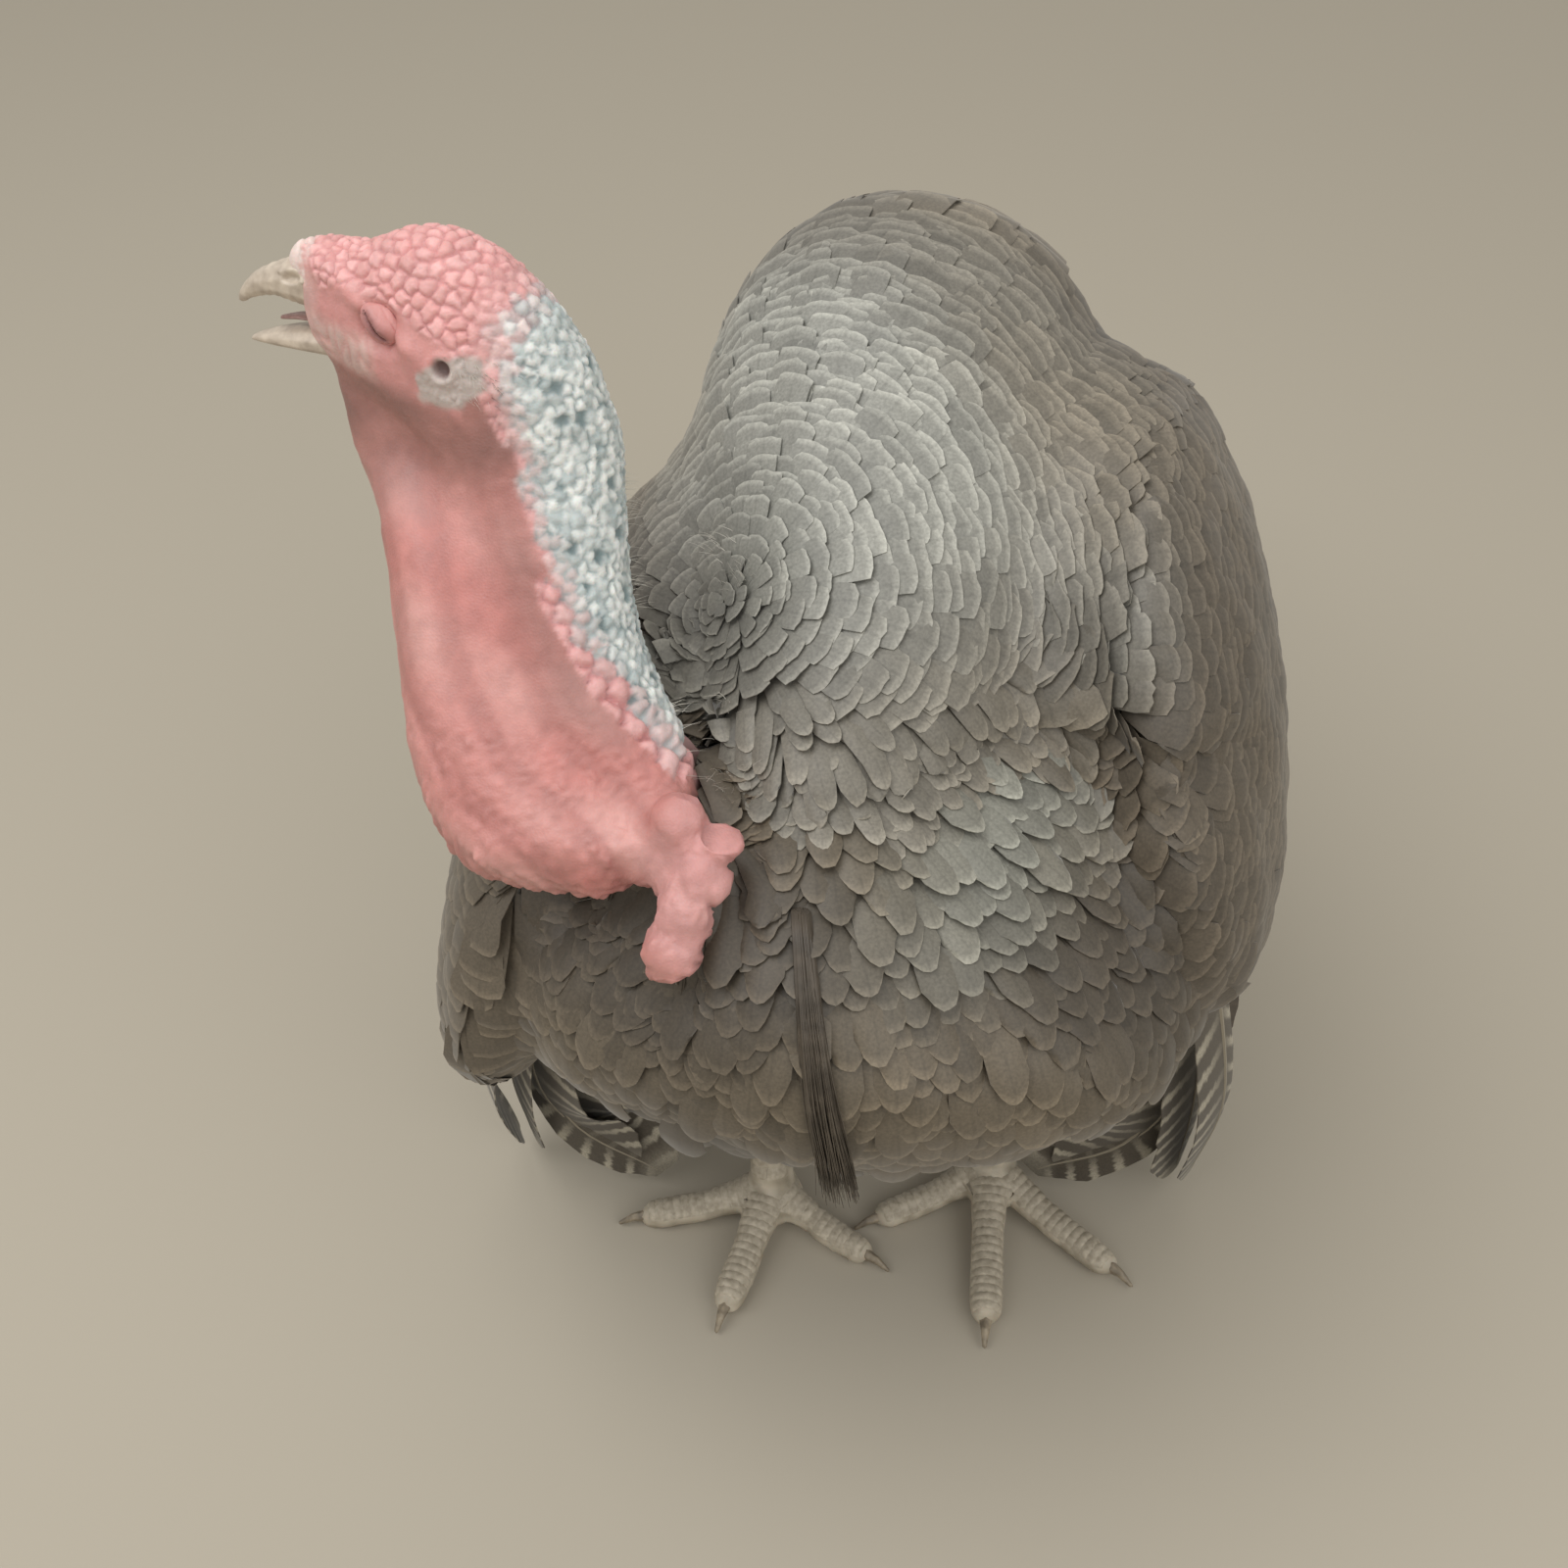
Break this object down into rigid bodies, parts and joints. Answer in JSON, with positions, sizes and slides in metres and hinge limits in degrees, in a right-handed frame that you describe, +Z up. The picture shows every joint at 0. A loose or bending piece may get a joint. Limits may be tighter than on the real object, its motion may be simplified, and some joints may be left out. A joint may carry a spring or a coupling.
{
  "type": "domestic turkey tom, standing",
  "caption": "Life-size still model of a dark bronze turkey tom standing with fluffed feathers, lowered wings, raised bare head turned to its right and open bill.",
  "frame": {"origin": "middle of the model's footprint at the level of the soles", "axes": "+Z up; the bird faces -Y, its tail points along +Y and its left side is +X"},
  "size_m": [0.392, 0.7992, 0.5404],
  "materials": {
    "body_skin": "satin",
    "mantle_feathers": "satin",
    "body_feathers": "satin",
    "flight_feathers": "satin",
    "head_skin": "satin",
    "nape_skin": "satin",
    "wattle_skin": "satin",
    "mouth_skin": "wet",
    "bill_horn": "satin",
    "eye": "gloss",
    "beard_bristle": "matte",
    "leg_scale": "satin",
    "claw_horn": "satin"
  },
  "bodies": {
    "root": {"back": "mantle_feathers", "beard": "beard_bristle", "belly": "body_skin", "bill_lower": "bill_horn", "bill_upper": "bill_horn", "breast": "body_skin", "caruncles": "wattle_skin", "claw_hallux_left": "claw_horn", "claw_hallux_right": "claw_horn", "claw_inner_left": "claw_horn", "claw_inner_right": "claw_horn", "claw_middle_left": "claw_horn", "claw_middle_right": "claw_horn", "claw_outer_left": "claw_horn", "claw_outer_right": "claw_horn", "dewlap": "wattle_skin", "ear_left": "head_skin", "ear_right": "head_skin", "eye_left": "eye", "eye_right": "eye", "foot_pad_left": "leg_scale", "foot_pad_right": "leg_scale", "head": "head_skin", "neck": "nape_skin", "primaries_left": "flight_feathers", "primaries_right": "flight_feathers", "rump": "body_feathers", "secondaries_left": "flight_feathers", "secondaries_right": "flight_feathers", "shank_left": "leg_scale", "shank_right": "leg_scale", "snood": "head_skin", "spur_left": "bill_horn", "spur_right": "bill_horn", "tail_coverts": "body_feathers", "tail_fan": "flight_feathers", "thigh_left": "body_skin", "thigh_right": "body_skin", "toe_hallux_left": "leg_scale", "toe_hallux_right": "leg_scale", "toe_inner_left": "leg_scale", "toe_inner_right": "leg_scale", "toe_middle_left": "leg_scale", "toe_middle_right": "leg_scale", "toe_outer_left": "leg_scale", "toe_outer_right": "leg_scale", "tongue": "mouth_skin", "wing_left": "body_feathers", "wing_right": "body_feathers"}
  },
  "joints": []
}
